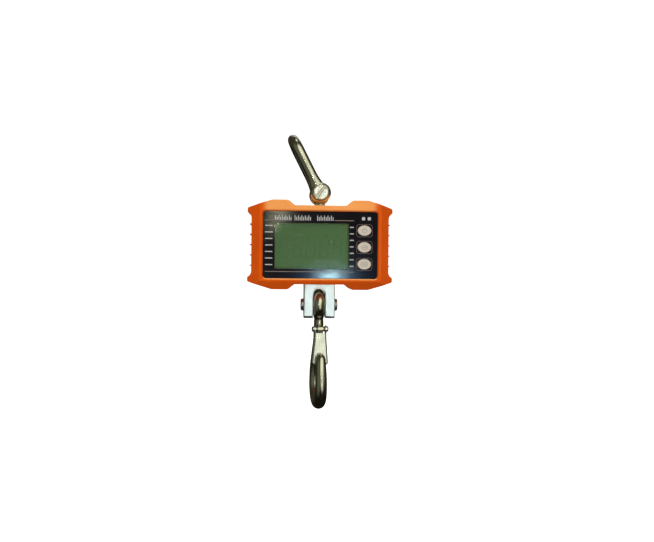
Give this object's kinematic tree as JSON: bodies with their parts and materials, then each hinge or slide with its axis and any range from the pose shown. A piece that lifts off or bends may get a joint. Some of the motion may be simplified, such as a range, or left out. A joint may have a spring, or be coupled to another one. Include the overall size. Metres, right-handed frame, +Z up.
{
  "type": "crane scale",
  "caption": "Hanging crane scale: swinging shackle above, orange housing with display and keys around a load cell, and a latched hook on a pin below.",
  "frame": {"origin": "the load point: the inside bottom of the hook's bowl, on the load line, with the hook hanging straight down", "axes": "+X to the right of someone reading the display, +Y from the display towards the back, +Z up the load line"},
  "size_m": [0.1656, 0.0572, 0.3192],
  "materials": {
    "housing": "satin",
    "seal": "matte",
    "pad": "matte",
    "panel": "gloss",
    "window": "clear",
    "frame": "matte",
    "lcd": "gloss",
    "guide": "satin",
    "key": "satin",
    "electronics": "matte",
    "board": "satin",
    "zinc_screw": "zinc plated",
    "cable": "satin",
    "battery": "satin",
    "contact": "nickel plated",
    "plate": "satin",
    "cell": "milled",
    "gauge": "satin",
    "bolt": "zinc plated",
    "forging": "bright nickel plated",
    "latch_sheet": "zinc plated",
    "spring_wire": "bright"
  },
  "bodies": {
    "scale_body": {"batteries": "battery", "battery_contacts": "contact", "battery_leads": "cable", "board_components": "electronics", "board_screws": "zinc_screw", "buzzer": "electronics", "cell_cable": "cable", "cell_screws": "zinc_screw", "display_frame": "frame", "display_window": "window", "eye_lock_pin": "bolt", "faceplate": "panel", "foot_seal": "seal", "fork_pads": "pad", "fork_pin": "bolt", "fork_pin_screw": "bolt", "front_shell": "housing", "housing_seal": "seal", "lcd_panel": "lcd", "lifting_eye": "forging", "light_guide": "guide", "load_cell": "cell", "main_board": "board", "rating_plate": "plate", "rear_shell": "housing", "shell_screws": "zinc_screw", "stem_seal": "seal", "strain_gauges": "gauge", "tact_switches": "electronics"},
    "shackle": {"shackle_bow": "forging", "shackle_pin": "forging"},
    "hook": {"hook": "forging", "latch_pin": "bolt", "latch_spring": "spring_wire"},
    "latch": {"latch": "latch_sheet"},
    "power_button": {"power_button": "key"},
    "hold_button": {"hold_button": "key"},
    "unit_button": {"unit_button": "key"},
    "battery_cover": {"battery_cover": "housing", "cover_screws": "zinc_screw"}
  },
  "joints": [
    {"name": "shackle_swing", "type": "hinge", "parent": "scale_body", "child": "shackle", "pos_m": [0, 0, 0.235], "axis": [0, 1, 0], "range_deg": [-63, 117]},
    {"name": "hook_swing", "type": "hinge", "parent": "scale_body", "child": "hook", "pos_m": [0, 0, 0.106], "axis": [1, 0, 0], "range_deg": [-80, 80]},
    {"name": "latch_open", "type": "hinge", "parent": "hook", "child": "latch", "pos_m": [0.00128, -0.01042, 0.0785], "axis": [0.9925, 0.1219, 0], "range_deg": [0, 25], "stiffness_Nm_per_rad": 0.01, "springref_deg": -17.19, "deforming": ["latch_spring"]},
    {"name": "power_press", "type": "slide", "parent": "scale_body", "child": "power_button", "axis": [0, 1, 0], "range_m": [0, 0.0008], "stiffness_N_per_m": 200},
    {"name": "hold_press", "type": "slide", "parent": "scale_body", "child": "hold_button", "axis": [0, 1, 0], "range_m": [0, 0.0008], "stiffness_N_per_m": 200},
    {"name": "unit_press", "type": "slide", "parent": "scale_body", "child": "unit_button", "axis": [0, 1, 0], "range_m": [0, 0.0008], "stiffness_N_per_m": 200},
    {"name": "battery_cover_lift", "type": "slide", "parent": "scale_body", "child": "battery_cover", "axis": [0, 1, 0], "range_m": [0, 0.02]}
  ]
}
